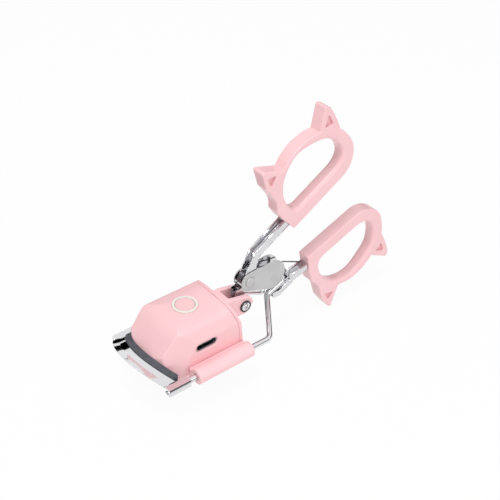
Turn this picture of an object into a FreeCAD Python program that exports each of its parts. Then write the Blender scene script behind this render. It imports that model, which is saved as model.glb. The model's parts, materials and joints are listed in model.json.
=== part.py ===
import FreeCAD, Part
import math
import os
import re
import Sketcher

# Eyelash curler with a battery-heated pad. Millimetres. +X runs from the jaw back to the
# finger rings, +Y to the left guide rod, +Z up to the power button. The origin lies on the flat
# underside of the housing, midway between the rods.

SIZES = (
    # frame: two wire guide rods that end in the lower handle
    ("rod_aside", 2.3), ("rod_dia", 2.3), ("rod_height", 3.0),
    ("rod_bend_x", 22.5), ("rod_bend_radius", 3.4),
    ("rod_join_x", 33.4), ("rod_join_z", 7.8), ("rod_end_x", 41.0), ("rod_end_z", 11.0),
    # fixed jaw: arched strip between two square sleeves crimped on the rods
    ("jaw_x", 22.5), ("tab_length", 9.0), ("tab_side", 3.0), ("strip_thick", 0.6),
    ("arch_top", 10.5), ("arch_radius", 21.7), ("arch_aside", 1.1),
    ("bow_radius", 21.4), ("strip_width", 5.2), ("lip_width", 2.7), ("lip_rise", 0.9),
    ("jaw_gap", 0.1),
    # heated pad on the carriage
    ("pad_front_x", 24.3), ("pad_depth", 2.5), ("pad_half", 14.2), ("pad_thick", 2.2),
    ("pad_proud", 0.6), ("bar_thick", 1.2), ("bar_setback", 0.4), ("lip_thick", 1.4),
    # housing
    ("house_half", 12.3), ("house_rear_x", 13.8), ("house_corner_x", 14.6),
    ("house_front_half", 10.6), ("house_corner_radius", 40), ("tray_thick", 1.3),
    ("dome_top", 20.9), ("dome_side_z", 13.0), ("shoulder_half", 11.1), ("shoulder_z", 17.6),
    ("brow_z", 9.3), ("brow_rear_x", 15.7), ("brow_top_z", 16.6), ("crown_front_x", 11.5),
    ("crown_drop", 0.9), ("rear_top_x", 9.9), ("rear_waist_x", 12.8), ("rear_waist_z", 12.8),
    ("wall", 1.6), ("cover_thick", 1.3), ("cavity_z", 14.2), ("roof_thick", 2.6),
    ("cavity_front_x", 14.6), ("cavity_half", 9.9), ("facet_x", 6.8), ("facet_yaw", 11.0),
    ("facet_lean", 6.0),
    # carriage sleeves that run on the rods
    ("sleeve_dia", 6.0), ("sleeve_front_x", 10.5), ("sleeve_rear_x", 13.4), ("slide_fit", 0.08),
    ("web_top", 4.9), ("web_reach", 2.15), ("web_radius", 1.5),
    # clevis at the back of the housing and the screw that the upper handle drives
    ("clevis_x", 20.4), ("clevis_z", 11.3), ("clevis_half", 4.6), ("clevis_inner_half", 2.75),
    ("clevis_radius", 3.9), ("clevis_top_z", 16.6), ("clevis_bottom_z", 8.2),
    ("screw_dia", 2.4), ("screw_head_dia", 4.6), ("screw_head", 1.1), ("screw_fit", 0.1),
    ("nut_height", 1.2), ("arm_slot_run", 1.2),
    # main pivot of the upper handle
    ("pivot_x", 24.4), ("pivot_z", 19.0), ("rivet_dia", 2.0), ("rivet_head_dia", 3.9),
    ("rivet_head", 0.7), ("pivot_fit", 0.05),
    # folded steel of the handles
    ("sheet", 0.5), ("upper_half", 1.8), ("lower_half", 1.9), ("cheek_gap", 0.15),
    ("cheek_thick", 0.45),
    ("cheek_small_radius", 3.8), ("cheek_big_radius", 6.0), ("cheek_big_x", 34.9),
    ("cheek_big_z", 17.2),
    # finger rings with two ears each
    ("ring_thick", 5.4), ("ring_length", 36.4), ("ring_height", 26.7), ("ring_heel", 1.6),
    ("ring_floor", 4.2), ("ring_roof", 2.5), ("ring_lip", 1.5),
    ("ear_foot", 18.0), ("ear_top", 31.0), ("ear_recess", 0.6),
    ("ear_tip_radius", 0.9),
    ("upper_ring_x", 43.9), ("upper_ring_z", 35.5), ("upper_ring_angle", 30.4),
    ("lower_ring_x", 52.6), ("lower_ring_z", 15.8), ("lower_ring_angle", 20.8),
    # power button, light ring and charging port
    ("button_x", 2.7), ("button_dia", 7.1), ("button_fit", 0.1), ("button_flange", 0.6),
    ("button_travel", 0.4), ("light_width", 0.95), ("light_depth", 1.0),
    ("port_x", 2.4), ("port_z", 10.5), ("port_length", 9.0), ("port_height", 3.2),
    ("port_depth", 7.3), ("port_fit", 0.2), ("port_inset", 0.4), ("port_shell", 0.35),
    ("tongue_length", 6.7), ("tongue_thick", 0.7), ("tongue_inset", 1.6),
    # parts inside the housing
    ("cell_length", 20.0), ("cell_width", 12.0), ("cell_height", 5.2), ("board_thick", 0.8),
    ("board_half", 9.4), ("board_front_x", 13.0), ("board_rear_x", 10.0), ("post_dia", 2.6),
    ("switch_side", 4.5), ("switch_height", 1.6), ("switch_plunger_dia", 2.2),
    ("switch_board_half", 6.8), ("switch_board_length", 12.0), ("plunger_rise", 0.6),
    ("screw_post_inset", 1.4),
    # torsion spring on the pivot rivet
    ("spring_wire", 0.5), ("spring_radius", 1.75), ("spring_turns", 3.0),
    ("spring_leg_back", 2.1), ("spring_leg_z", 14.3), ("spring_knee_x", 42.0),
    ("spring_knee_z", 18.7), ("spring_short_x", 31.0), ("spring_short_z", 27.6),
    # deep front of the lower handle
    ("fork_x", 35.4), ("fork_z", 6.2), ("fork_length", 9.3),
)

doc = FreeCAD.newDocument("eyelash_curler")
sheet = doc.addObject("Spreadsheet::Sheet", "Sizes")
for row, (alias, value) in enumerate(SIZES, start=1):
    sheet.set("A%d" % row, alias)
    sheet.set("B%d" % row, "%g" % value)
    sheet.setAlias("B%d" % row, alias)
doc.recompute()
NAMES = {alias for alias, value in SIZES}
NODES = []
FAR = 90.0
ROD_Y = "(pad_half + rod_aside)"


def bound(text):
    """An expression on the sheet, written with the bare names of the sizes."""
    return re.sub(r"[a-z][a-z_]*", lambda m: "Sizes." + m[0] if m[0] in NAMES else m[0], str(text))


def number(text):
    value = sheet.evalExpression(bound(text))
    return float(getattr(value, "Value", value))


def new_body(name):
    made = doc.addObject("PartDesign::Body", name)
    made.Label = name
    NODES.append(made)
    return made


def new_sketch(body, plane, offset="0", turned=None):
    made = body.newObject("Sketcher::SketchObject", body.Name + "_sketch")
    role = plane + "_Plane"
    origin = [item for item in body.Origin.OriginFeatures if item.Role == role][0]
    made.AttachmentSupport = [(origin, "")]
    made.MapMode = "FlatFace"
    if turned:
        made.AttachmentOffset = turned
    else:
        made.setExpression("AttachmentOffset.Base.z", bound(offset))
    return made


def limit(sketch, constraint, text):
    index = sketch.addConstraint(constraint)
    sketch.setExpression("Constraints[%d]" % index, bound(text))


def outline(sketch, points):
    """A closed outline. Each point is (x, y) or (x, y, radius): with a radius, the edge to the
    next point is an arc, turning left where the radius is positive and right where negative."""
    places = [FreeCAD.Vector(number(point[0]), number(point[1]), 0) for point in points]
    first = sketch.GeometryCount
    starts = []
    ends = []
    for index, point in enumerate(points):
        here = places[index]
        there = places[(index + 1) % len(points)]
        edge = first + index
        if len(point) == 2:
            sketch.addGeometry(Part.LineSegment(here, there), False)
            starts.append((edge, 1))
            ends.append((edge, 2))
            continue
        radius = number(point[2])
        left = radius > 0
        chord = there - here
        rise = (radius * radius - chord.Length ** 2 / 4) ** 0.5
        aside = FreeCAD.Vector(-chord.y, chord.x, 0).normalize() * (rise if left else -rise)
        middle = here + chord * 0.5 + aside
        circle = Part.Circle(middle, FreeCAD.Vector(0, 0, 1), abs(radius))
        begin = circle.parameter(here if left else there)
        finish = circle.parameter(there if left else here)
        sketch.addGeometry(Part.ArcOfCircle(circle, begin, finish), False)
        starts.append((edge, 1 if left else 2))
        ends.append((edge, 2 if left else 1))
    for index, point in enumerate(points):
        start = starts[index]
        end = ends[index - 1]
        sketch.addConstraint(Sketcher.Constraint("Coincident", end[0], end[1], start[0], start[1]))
        for axis, value in (("DistanceX", point[0]), ("DistanceY", point[1])):
            limit(sketch, Sketcher.Constraint(axis, -1, 1, start[0], start[1], number(value)), value)
        if len(point) == 3:
            size = point[2] if number(point[2]) > 0 else "-(%s)" % point[2]
            limit(sketch, Sketcher.Constraint("Radius", start[0], number(size)), size)


def smooth_outline(sketch, points):
    """A closed smooth curve through the points."""
    places = [FreeCAD.Vector(number(x), number(y), 0) for x, y in points]
    curve = Part.BSplineCurve()
    curve.interpolate(Points=places, PeriodicFlag=True)
    sketch.addGeometry(curve, False)


def disc(sketch, x, y, dia):
    centre = FreeCAD.Vector(number(x), number(y), 0)
    radius = number("(%s) / 2" % dia)
    edge = sketch.addGeometry(Part.Circle(centre, FreeCAD.Vector(0, 0, 1), radius), False)
    limit(sketch, Sketcher.Constraint("DistanceX", -1, 1, edge, 3, centre.x), x)
    limit(sketch, Sketcher.Constraint("DistanceY", -1, 1, edge, 3, centre.y), y)
    limit(sketch, Sketcher.Constraint("Radius", edge, radius), "(%s) / 2" % dia)


def box_outline(sketch, x0, x1, y0, y1):
    outline(sketch, [(x0, y0), (x1, y0), (x1, y1), (x0, y1)])


def grow(kind, body, sketch, length, side="One side", back=False):
    made = body.newObject("PartDesign::" + kind, body.Name + "_" + kind.lower())
    made.Profile = sketch
    made.SideType = side
    made.Reversed = back
    made.setExpression("Length", bound(length))
    sketch.Visibility = False
    doc.recompute()
    return made


def pad(body, sketch, length, side="One side", back=False):
    return grow("Pad", body, sketch, length, side, back)


def cut(body, sketch, length, side="One side", back=False):
    before = body.Shape.Volume
    made = grow("Pocket", body, sketch, length, side, back)
    if body.Shape.Volume >= before:
        raise RuntimeError(made.Label + " removes nothing")
    return made


def trim(body, plane, points):
    """Keeps what lies inside an outline drawn on one of the body's planes."""
    sketch = new_sketch(body, plane)
    box_outline(sketch, -FAR, FAR, -FAR, FAR)
    outline(sketch, points)
    return cut(body, sketch, 2 * FAR, "Symmetric")


def soften(body, radius, chosen):
    """Rounds the edges of the body's last feature that the test picks."""
    base = body.Tip
    names = ["Edge%d" % (i + 1) for i, edge in enumerate(base.Shape.Edges) if chosen(edge)]
    made = body.newObject("PartDesign::Fillet", body.Name + "_round")
    made.Base = (base, names)
    made.setExpression("Radius", bound(radius))
    doc.recompute()
    return made


def coded(name, shape):
    made = doc.addObject("Part::Feature", name)
    made.Label = name
    made.Shape = shape
    NODES.append(made)
    return made


# ---- outlines that several pieces share -------------------------------------------------

TRAY_FRONT = "(-pad_front_x + pad_depth)"
SIDE_FRONT = "(%s + bow_radius - sqrt(bow_radius^2 - house_front_half^2))" % TRAY_FRONT


def house_plan():
    """Plan of the housing: straight sides, bowed front that follows the pad."""
    return [
        ("house_rear_x + 2", "-house_half"), ("house_rear_x + 2", "house_half"),
        ("-house_corner_x", "house_half", "house_corner_radius"),
        (SIDE_FRONT, "house_front_half", "bow_radius"),
        (SIDE_FRONT, "-house_front_half", "house_corner_radius"),
        ("-house_corner_x", "-house_half"),
    ]


def house_section():
    """Cross-section of the dome, seen along X."""
    return [
        ("-house_half", "-1"), ("house_half", "-1"), ("house_half", "dome_side_z"),
        ("shoulder_half", "shoulder_z", "3.2"), ("shoulder_half - 2.7", "dome_top - 1.1", "36"),
        ("-shoulder_half + 2.7", "dome_top - 1.1", "3.2"), ("-shoulder_half", "shoulder_z"),
        ("-house_half", "dome_side_z"),
    ]


def house_profile(inset="0"):
    """Side view of the dome; the inset moves its slanted back forward."""
    return [
        ("-pad_front_x - 3", "-1"), ("house_rear_x - %s" % inset, "-1"),
        ("house_rear_x - %s" % inset, "tray_thick"),
        ("rear_waist_x - %s" % inset, "rear_waist_z"),
        ("rear_top_x - %s" % inset, "dome_top - crown_drop / 2", "75"),
        ("-crown_front_x", "dome_top - crown_drop", "14"), ("-brow_rear_x", "brow_top_z"),
        (TRAY_FRONT + " + 0.3", "brow_z"), ("-pad_front_x - 3", "brow_z - 5"),
    ]


def arch(sketch, top, radius, thick, half):
    """A strip bent about an axis along X, seen from the front."""
    centre = "(%s - (%s))" % (top, radius)
    inner = "(%s - (%s))" % (radius, thick)
    high = "%s + sqrt((%s)^2 - (%s)^2)" % (centre, radius, half)
    low = "%s + sqrt((%s)^2 - (%s)^2)" % (centre, inner, half)
    outline(sketch, [
        ("-(%s)" % half, low, "-(%s)" % inner), (half, low), (half, high, radius),
        ("-(%s)" % half, high),
    ])


def bowed_strip(name, drop, thick, half, front, rear):
    """A strip under the arch line, cut to the bow of the pad in plan."""
    body = new_body(name)
    sketch = new_sketch(body, "YZ", "-pad_front_x - 2")
    arch(sketch, "(arch_top + pad_proud - (%s))" % drop, "(arch_radius + pad_proud - (%s))" % drop,
         thick, half)
    pad(body, sketch, "pad_front_x")
    reach = "bow_radius - sqrt(bow_radius^2 - (%s + 1)^2)" % half
    trim(body, "XY", [
        ("%s + %s" % (rear, reach), "-(%s) - 1" % half, "-bow_radius"),
        ("%s + %s" % (rear, reach), "%s + 1" % half),
        ("%s + %s" % (front, reach), "%s + 1" % half, "bow_radius"),
        ("%s + %s" % (front, reach), "-(%s) - 1" % half),
    ])
    return body


# ---- frame ------------------------------------------------------------------------------

def guide_rod(name, side):
    """Bent wire: straight along the carriage, in to the middle, then back in the handle."""
    route = [
        FreeCAD.Vector(number("-jaw_x + 0.8"), side * number(ROD_Y), number("rod_height")),
        FreeCAD.Vector(number("rod_bend_x"), side * number(ROD_Y), number("rod_height")),
        FreeCAD.Vector(number("rod_join_x"), side * number("rod_dia / 2"), number("rod_join_z")),
        FreeCAD.Vector(number("rod_end_x"), side * number("rod_dia / 2"), number("rod_end_z")),
    ]
    radius = number("rod_dia / 2")
    shape = None
    start = route[0]
    bends = (number("rod_bend_radius"), number("rod_dia"), 0)
    for before, corner, after, bend in zip(route, route[1:], route[2:] + route[-1:], bends):
        if not bend:
            shape = shape.fuse(Part.makeCylinder(radius, (corner - start).Length, start, corner - start))
            break
        toward = (before - corner).normalize()
        away = (after - corner).normalize()
        half = toward.getAngle(away) / 2
        run = bend / math.tan(half)
        first = corner + toward * run
        last = corner + away * run
        middle = corner + (toward + away).normalize() * (bend / math.sin(half))
        axis = (first - middle).cross(last - middle)
        straight = Part.makeCylinder(radius, (first - start).Length, start, first - start)
        circle = Part.Face(Part.Wire([Part.makeCircle(radius, first, toward)]))
        turned = circle.revolve(middle, axis, 180 - math.degrees(2 * half))
        shape = straight.fuse(turned) if shape is None else shape.fuse([straight, turned])
        start = last
    return coded(name, shape.removeSplitter())


guide_rod("guide_rod_left", 1)
guide_rod("guide_rod_right", -1)


def jaw_section(y):
    """The strip's section at a distance from the middle: flat at the back, lip in front."""
    bow = "(bow_radius - sqrt(bow_radius^2 - (%s)^2))" % y
    top = "(arch_top - arch_radius + sqrt(arch_radius^2 - (%s)^2))" % y
    rear = "-pad_front_x - jaw_gap + " + bow
    crease = "-pad_front_x - strip_width + lip_width + " + bow
    front = "-pad_front_x - strip_width + " + bow
    return [
        (rear, top + " - strip_thick"), (rear, top), (crease, top), (front, top + " + lip_rise"),
        (front, top + " + lip_rise - strip_thick"), (crease, top + " - strip_thick"),
    ]


def fixed_jaw():
    """Arched and bowed strip with a lip, whose ends run into square sleeves on the rods."""
    body = new_body("fixed_jaw")
    stations = []
    for step in range(-3, 4):
        y = "%d * (pad_half + arch_aside) / 3" % step
        station = new_sketch(body, "XZ", "-(%s)" % y)
        outline(station, jaw_section(y))
        station.Visibility = False
        stations.append(station)
    strip = body.newObject("PartDesign::AdditiveLoft", "fixed_jaw_strip")
    strip.Profile = stations[0]
    strip.Sections = stations[1:]
    doc.recompute()
    for side in ("", "-"):
        centre = side + ROD_Y
        sketch = new_sketch(body, "YZ", "-jaw_x")
        half = "tab_side / 2"
        box_outline(sketch, "%s - %s" % (centre, half), "%s + %s" % (centre, half),
                    "rod_height - %s" % half, "rod_height + %s" % half)
        pad(body, sketch, "tab_length")
        sketch = new_sketch(body, "YZ", "-jaw_x")
        disc(sketch, centre, "rod_height", "rod_dia")
        cut(body, sketch, "tab_length", "One side", True)


def hull_two(sketch, x0, z0, r0, x1, z1, r1):
    """Outline of two discs joined by their common tangents; the second lies toward +X."""
    run = "((%s) - (%s))" % (x1, x0)
    rise = "((%s) - (%s))" % (z1, z0)
    span = "sqrt(%s^2 + %s^2)" % (run, rise)
    lean = "(((%s) - (%s)) / %s)" % (r1, r0, span)
    flat = "sqrt(1 - %s^2)" % lean
    ux = "(%s / %s)" % (run, span)
    uz = "(%s / %s)" % (rise, span)
    points = []
    for x, z, radius, sign in ((x0, z0, r0, -1), (x1, z1, r1, -1), (x1, z1, r1, 1), (x0, z0, r0, 1)):
        nx = "(-%s * %s + %d * -%s * %s)" % (lean, ux, sign, flat, uz)
        nz = "(-%s * %s + %d * %s * %s)" % (lean, uz, sign, flat, ux)
        points.append(("(%s) + (%s) * %s" % (x, radius, nx), "(%s) + (%s) * %s" % (z, radius, nz)))
    tip = ("(%s) + (%s) * %s" % (x1, r1, ux), "(%s) + (%s) * %s" % (z1, r1, uz))
    butt = ("(%s) - (%s) * %s" % (x0, r0, ux), "(%s) - (%s) * %s" % (z0, r0, uz))
    outline(sketch, [points[0], points[1] + (r1,), tip + (r1,), points[2], points[3] + (r0,), butt + (r0,)])


def cheek_plate(name, side):
    """Flat teardrop plate: small end round the pivot, big end inside the lower handle."""
    body = new_body(name)
    near = "upper_half + cheek_gap" if side < 0 else "-(upper_half + cheek_gap) - cheek_thick"
    sketch = new_sketch(body, "XZ", near)
    hull_two(sketch, "pivot_x", "pivot_z", "cheek_small_radius", "cheek_big_x", "cheek_big_z",
             "cheek_big_radius")
    disc(sketch, "pivot_x", "pivot_z", "rivet_dia")
    pad(body, sketch, "cheek_thick")


CHEEK_OUT = "(upper_half + cheek_gap + cheek_thick)"


def on_ring(ring, flip, a, b):
    """The place in the side view of a point given along and across a finger ring."""
    x = "%s_ring_x + (%s) * cos(%s_ring_angle) - %d * (%s) * sin(%s_ring_angle)"
    z = "%s_ring_z + (%s) * sin(%s_ring_angle) + %d * (%s) * cos(%s_ring_angle)"
    return x % (ring, a, ring, flip, b, ring), z % (ring, a, ring, flip, b, ring)


def lower_shank():
    """Channel open below, with a deep fork in front that holds rods and cheek plates."""
    body = new_body("lower_shank")
    sketch = new_sketch(body, "XZ")
    outline(sketch, [
        ("fork_x + fork_length - 2", "fork_z + 1.9"), on_ring("lower", -1, "-1.48", "4.4"),
        on_ring("lower", -1, "-0.82", "2.0"), ("fork_x + fork_length - 2", "fork_z + 5.0"),
    ])
    pad(body, sketch, "2 * lower_half", "Symmetric")
    sketch = new_sketch(body, "XZ")
    outline(sketch, [
        ("fork_x + fork_length - 6", "fork_z - 2"), ("lower_ring_x + 6", "lower_ring_z - 8"),
        on_ring("lower", -1, "4", "1.4 + sheet"), on_ring("lower", -1, "-1.6", "2.0 + sheet"),
        ("fork_x + fork_length - 2", "fork_z + 5.0 - sheet"),
        ("fork_x + fork_length - 6", "fork_z + 4.0 - sheet"),
    ])
    cut(body, sketch, "2 * (lower_half - sheet)", "Symmetric")
    sketch = new_sketch(body, "XZ")
    outline(sketch, [
        ("fork_x", "fork_z"), ("fork_x + 3", "fork_z"),
        ("fork_x + fork_length", "fork_z + 3.3"), ("fork_x + fork_length", "fork_z + 7.0"),
        ("fork_x + fork_length - 2.2", "fork_z + 9.0"), ("fork_x - 0.9", "fork_z + 6.5"),
    ])
    pad(body, sketch, "2 * (%s + sheet)" % CHEEK_OUT, "Symmetric")
    sketch = new_sketch(body, "XZ")
    outline(sketch, [
        ("fork_x - 5", "fork_z + sheet"), ("fork_x + 3 - 0.1", "fork_z + sheet"),
        ("fork_x + fork_length - sheet", "fork_z + 3.3 + 0.3"),
        ("fork_x + fork_length - sheet", "fork_z + 15"), ("fork_x - 5", "fork_z + 15"),
    ])
    cut(body, sketch, "2 * %s" % CHEEK_OUT, "Symmetric")


def upper_shank():
    """Channel open on its outer side: slotted arm, knee round the pivot, then the handle."""
    body = new_body("upper_shank")
    sketch = new_sketch(body, "XZ")
    outline(sketch, [
        ("clevis_x - 2.0", "clevis_z - 3.0"), ("clevis_x + 2.1", "clevis_z - 3.0"),
        ("clevis_x + 2.3", "pivot_z - 3.6"), ("pivot_x + 2.8", "pivot_z - 1.6"),
        ("pivot_x + 3.4", "pivot_z + 5.0"), ("pivot_x + 4.9", "pivot_z + 8.9"),
        on_ring("upper", 1, "-0.64", "1.0"), on_ring("upper", 1, "-1.46", "4.3"),
        ("pivot_x + 2.7", "pivot_z + 11.3"), ("pivot_x + 0.2", "pivot_z + 6.2"),
        ("pivot_x - 3.4", "pivot_z + 5.2"), ("pivot_x - 4.9", "pivot_z + 3.4", "2.4"),
        ("pivot_x - 5.2", "pivot_z + 0.8"), ("clevis_x - 2.0", "pivot_z - 2.6"),
    ])
    pad(body, sketch, "2 * upper_half", "Symmetric")
    sketch = new_sketch(body, "XZ")
    outline(sketch, [
        ("clevis_x - 5.0", "clevis_z - 4.0"), ("clevis_x + 2.1 - sheet", "clevis_z - 4.0"),
        ("clevis_x + 2.3 - sheet", "pivot_z - 3.4"), ("pivot_x + 5", "pivot_z - 3.4"),
        ("pivot_x + 5", "pivot_z + 5.6"), ("pivot_x + 3.2", "pivot_z + 5.6"),
        ("pivot_x + 4.6", "pivot_z + 8.9 + 0.4"), on_ring("upper", 1, "0", "1.0 + sheet"),
        on_ring("upper", 1, "3", "12"), ("12", "upper_ring_z"),
    ])
    cut(body, sketch, "2 * (upper_half - sheet)", "Symmetric")
    sketch = new_sketch(body, "XZ")
    disc(sketch, "pivot_x", "pivot_z", "rivet_dia + 2 * pivot_fit")
    cut(body, sketch, "4 * upper_half", "Symmetric")
    sketch = new_sketch(body, "XZ")
    half = "(screw_dia / 2 + screw_fit)"
    outline(sketch, [
        ("clevis_x + %s" % half, "clevis_z - 0.1"),
        ("clevis_x + %s" % half, "clevis_z + arm_slot_run", half),
        ("clevis_x", "clevis_z + arm_slot_run + %s" % half, half),
        ("clevis_x - %s" % half, "clevis_z + arm_slot_run"),
        ("clevis_x - %s" % half, "clevis_z - 0.1", half),
        ("clevis_x", "clevis_z - 0.1 - %s" % half, half),
    ])
    cut(body, sketch, "4 * upper_half", "Symmetric")


# Outline of a finger ring: the first number runs along the handle, the second across it.
RING_OUTER = (
    ("-0.1", "-ring_heel"), ("ring_length - 12.1", "-ring_heel", "11"),
    ("ring_length", "8.4", "24"), ("ring_length - 1.9", "ear_foot", "40"),
    ("ring_length - 1.3", "ear_top - 1.6"), ("ring_length - 2.3", "ear_top", "ear_tip_radius"),
    ("ring_length - 3.7", "ear_top - 0.4"), ("ring_length - 9.5", "ring_height - 2.5", "17.8"),
    ("8.4", "ring_height - 2.5"), ("2.5", "ear_top - 0.4", "ear_tip_radius"), ("1.0", "ear_top - 0.3"),
    ("-0.7", "ear_foot + 6"), ("-0.3", "ear_foot + 0.4", "-9"), ("-2.0", "11.6", "26"),
    ("-0.9", "2.6"),
)
RING_INNER = (
    ("7.0", "ring_floor"), ("12.0", "ring_floor"), ("17.0", "ring_floor"), ("22.0", "ring_floor"),
    ("26.5", "ring_floor + 0.3"), ("30.1", "ring_floor + 2.5"), ("31.2", "ring_floor + 6.2"),
    ("30.5", "ring_floor + 10.5"), ("28.0", "ring_height - 7.6"), ("22.8", "ring_height - 4.5"),
    ("16.5", "ring_height - ring_roof"), ("10.3", "ring_height - 4.2"), ("5.6", "ring_height - 8.3"),
    ("3.3", "ring_floor + 9.0"), ("3.1", "ring_floor + 4.2"), ("4.2", "ring_floor + 1.3"),
)
EAR_MARKS = (
    (("ring_length - 6.6", "24.1"), ("ring_length - 3.5", "22.6"), ("ring_length - 3.3", "26.8")),
    (("1.5", "22.9"), ("4.9", "25.3"), ("2.1", "26.8")),
)


def finger_ring(name, x, z, angle, flip):
    """Finger ring with one straight side at the shank and two triangular ears."""
    body = new_body(name)

    def place(a, b, *radius):
        if flip > 0:
            return (a, b) + radius
        return (a, "-(%s)" % b) + tuple("-(%s)" % item for item in radius)

    sketch = new_sketch(body, "XZ")
    outline(sketch, [place(*point) for point in RING_OUTER])
    pad(body, sketch, "ring_thick", "Symmetric")
    sketch = new_sketch(body, "XZ")
    smooth_outline(sketch, [place(*point) for point in RING_INNER])
    cut(body, sketch, "2 * ring_thick", "Symmetric")
    half = number("ring_thick / 2")
    along = (number("ring_floor / 2"), number("ring_length - ring_floor"))
    across = (number("ring_floor / 2"), number("ring_height - ring_roof / 2"))

    def bounds_hole(edge):
        middle = edge.CenterOfMass
        flat = edge.BoundBox.YLength < 0.01 and abs(abs(middle.y) - half) < 0.01
        return flat and along[0] < middle.x < along[1] and across[0] < abs(middle.z) < across[1]

    soften(body, "ring_lip", bounds_hole)
    for turn in (1, -1):
        sketch = new_sketch(body, "XZ", "%d * ring_thick / 2" % turn)
        for mark in EAR_MARKS:
            outline(sketch, [place(*point) for point in mark])
        cut(body, sketch, "ear_recess", "One side", turn < 0)
    body.Placement = FreeCAD.Placement(
        FreeCAD.Vector(number(x), 0, number(z)),
        FreeCAD.Rotation(FreeCAD.Vector(0, -1, 0), number(angle)))
    body.setExpression("Placement.Base.x", bound(x))
    body.setExpression("Placement.Base.z", bound(z))
    body.setExpression("Placement.Rotation.Angle", bound(angle))
    return body


def headed_pin(name, x, z, dia, near, far_end, head_dia, head, two_heads):
    """A pin along Y with a domed head at its near end, and one at the far end if asked."""
    body = new_body(name)
    sketch = new_sketch(body, "XZ", "-(%s)" % far_end)
    disc(sketch, x, z, dia)
    pad(body, sketch, "%s + %s" % (near, far_end))
    sketch = new_sketch(body, "XZ", near)
    disc(sketch, x, z, head_dia)
    pad(body, sketch, head)
    if two_heads:
        sketch = new_sketch(body, "XZ", "-(%s) - %s" % (far_end, head))
        disc(sketch, x, z, head_dia)
        pad(body, sketch, head)
    return body


def torsion_spring():
    """Coil round the pivot rivet; the long leg rests in the lower handle."""
    radius = number("spring_radius")
    wire = number("spring_wire")
    turns = number("spring_turns")
    centre = FreeCAD.Vector(number("pivot_x"), 0, number("pivot_z"))
    pitch = wire * 1.1
    coil = Part.makeHelix(pitch, pitch * turns, radius)
    coil.translate(FreeCAD.Vector(0, 0, -pitch * turns / 2))
    start = FreeCAD.Vector(radius, 0, -pitch * turns / 2)
    corners = [FreeCAD.Vector(wire / 2 * math.cos(turn), 0, wire / 2 * math.sin(turn)) + start
               for turn in (0, math.pi / 2, math.pi, 3 * math.pi / 2, 2 * math.pi)]
    section = Part.makePolygon(corners)
    body = Part.Wire(coil.Edges).makePipeShell([section], True, True)
    body.rotate(FreeCAD.Vector(), FreeCAD.Vector(1, 0, 0), 90)
    body.rotate(FreeCAD.Vector(), FreeCAD.Vector(0, 1, 0), -90)
    body.translate(centre)
    top = centre + FreeCAD.Vector(0, 0, radius)
    knee = FreeCAD.Vector(number("spring_knee_x"), 0, number("spring_knee_z"))
    foot = FreeCAD.Vector(number("lower_ring_x - spring_leg_back"), 0, number("spring_leg_z"))
    tail = FreeCAD.Vector(number("spring_short_x"), 0, number("spring_short_z"))
    side = centre + FreeCAD.Vector(radius * 0.9, 0, radius * 0.4)
    shape = body
    for begin, finish in ((top, knee), (knee, foot), (side, tail)):
        run = finish - begin
        leg = Part.makeCylinder(wire / 2, run.Length, begin, run)
        shape = shape.fuse(leg)
    shape = shape.fuse(Part.makeSphere(wire / 2, knee))
    shape = shape.fuse(Part.makeSphere(wire / 2, top))
    return coded("torsion_spring", shape.removeSplitter())


fixed_jaw()
cheek_plate("cheek_plate_left", 1)
cheek_plate("cheek_plate_right", -1)
lower_shank()
finger_ring("lower_finger_ring", "lower_ring_x", "lower_ring_z", "lower_ring_angle", -1)
headed_pin("pivot_rivet", "pivot_x", "pivot_z", "rivet_dia", CHEEK_OUT, CHEEK_OUT,
           "rivet_head_dia", "rivet_head", True)
torsion_spring()
upper_shank()
finger_ring("upper_finger_ring", "upper_ring_x", "upper_ring_z", "upper_ring_angle", 1)


# ---- carriage ---------------------------------------------------------------------------

CELL_FRONT = "(-cell_length / 2 - 1.0)"
BOARD_Z = "(port_z - port_height / 2 - board_thick)"
ROOF_Z = "(dome_top - roof_thick)"
SWITCH_BOARD_Z = "(%s - button_flange - 0.4 - button_travel - switch_height - 0.7 - board_thick)" % ROOF_Z
LIGHT_DIA = "(button_dia + 2 * button_fit + 2 * light_width)"


def shave_corner(body, side):
    """Cuts the flat facet beside the front of the housing, back to the slanted edge of its side."""
    foot = FreeCAD.Vector(number("-facet_x"), number("dome_side_z"), -side * number("house_half"))
    yaw = math.radians(number("facet_yaw"))
    lean = math.radians(number("facet_lean"))
    normal = FreeCAD.Vector(-math.sin(yaw), math.sin(lean), -side * math.cos(yaw) * math.cos(lean))
    turn = FreeCAD.Rotation(FreeCAD.Vector(0, 0, 1), normal)
    sketch = new_sketch(body, "XZ", turned=FreeCAD.Placement(foot, turn))
    box_outline(sketch, -FAR, FAR, -FAR, FAR)
    return cut(body, sketch, "house_half", "One side", True)


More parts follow.
